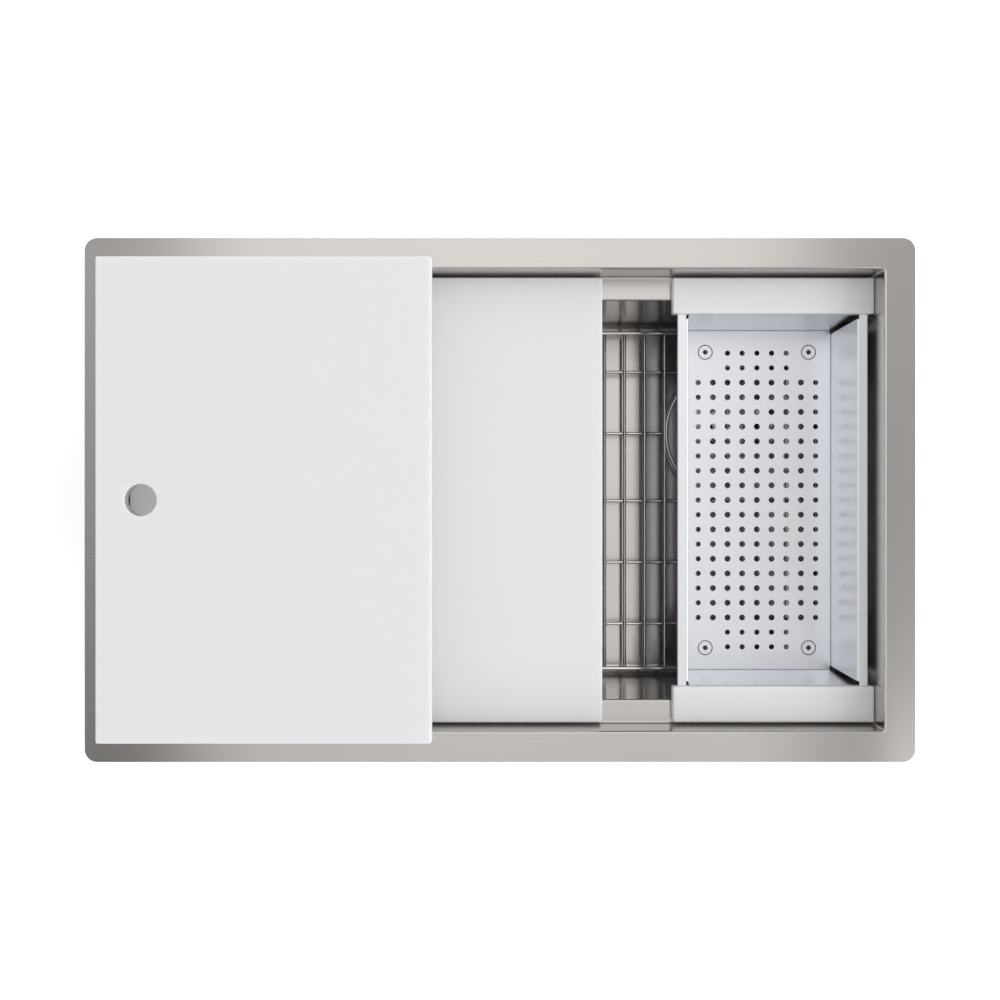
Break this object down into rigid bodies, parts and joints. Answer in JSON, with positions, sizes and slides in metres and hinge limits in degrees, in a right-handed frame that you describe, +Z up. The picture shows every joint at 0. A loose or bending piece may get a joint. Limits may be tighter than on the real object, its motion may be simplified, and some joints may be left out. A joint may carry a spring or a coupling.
{
  "type": "workstation kitchen sink",
  "caption": "Workstation kitchen sink with sliding boards, a sliding colander, a lift-out wire grid and a basket strainer.",
  "frame": {"origin": "middle of the rim, in the plane of its top face, where the rim bonds to the underside of a worktop", "axes": "+X to the right along the long side, +Y to the back, +Z up"},
  "size_m": [0.8256, 0.5206, 0.4356],
  "materials": {
    "satin_steel": "satin brushed stainless sheet",
    "tray_steel": "fine satin stainless sheet",
    "wire_steel": "bright drawn stainless wire",
    "bright_steel": "polished stainless",
    "white_polymer": "fine matt grain",
    "sound_pad": "matt butyl pad",
    "grey_rubber": "matt moulded rubber",
    "black_rubber": "matt moulded rubber",
    "fibre": "pressed fibre",
    "cast_nut": "plain zinc casting",
    "clear_washer": "translucent polyethylene"
  },
  "bodies": {
    "sink": {"sink_bowl": "satin_steel", "pad_bottom": "sound_pad", "pad_front": "sound_pad", "pad_back": "sound_pad", "pad_left": "sound_pad", "pad_right": "sound_pad", "strainer_body": "bright_steel", "strainer_gasket": "black_rubber", "friction_washer": "fibre", "lock_nut": "cast_nut", "tailpiece_washer": "clear_washer", "coupling_nut": "cast_nut", "tailpiece": "bright_steel"},
    "cutting_board": {"cutting_board": "white_polymer"},
    "serving_board": {"serving_board": "white_polymer"},
    "colander": {"colander_floor": "tray_steel", "colander_side_left": "tray_steel", "colander_side_right": "tray_steel", "colander_end_front": "tray_steel", "colander_end_back": "tray_steel", "colander_handle_front": "white_polymer", "colander_handle_back": "white_polymer", "colander_handle_screws": "wire_steel", "colander_feet": "black_rubber", "colander_foot_plates": "tray_steel", "colander_foot_screws": "wire_steel"},
    "bottom_grid": {"grid_frame": "wire_steel", "grid_long_bars": "wire_steel", "grid_cross_bars": "wire_steel", "grid_drain_ring": "wire_steel", "grid_feet": "grey_rubber", "grid_bumpers": "grey_rubber"},
    "strainer_basket": {"strainer_basket": "bright_steel"},
    "stopper": {"stopper_post": "bright_steel", "stopper_knob": "bright_steel", "rubber_stopper": "black_rubber"}
  },
  "joints": [
    {"name": "cutting_board_slide", "type": "slide", "parent": "sink", "child": "cutting_board", "axis": [1, 0, 0], "range_m": [-0.012, 0.465]},
    {"name": "serving_board_slide", "type": "slide", "parent": "sink", "child": "serving_board", "axis": [1, 0, 0], "range_m": [-0.004, 0.069]},
    {"name": "colander_slide", "type": "slide", "parent": "sink", "child": "colander", "axis": [1, 0, 0], "range_m": [-0.069, 0]},
    {"name": "grid_lift", "type": "slide", "parent": "sink", "child": "bottom_grid", "axis": [0, 0, 1], "range_m": [0, 0.06]},
    {"name": "basket_lift", "type": "slide", "parent": "sink", "child": "strainer_basket", "axis": [0, 0, 1], "range_m": [0, 0.05]},
    {"name": "stopper_lift", "type": "slide", "parent": "strainer_basket", "child": "stopper", "axis": [0, 0, 1], "range_m": [0, 0.01]}
  ]
}
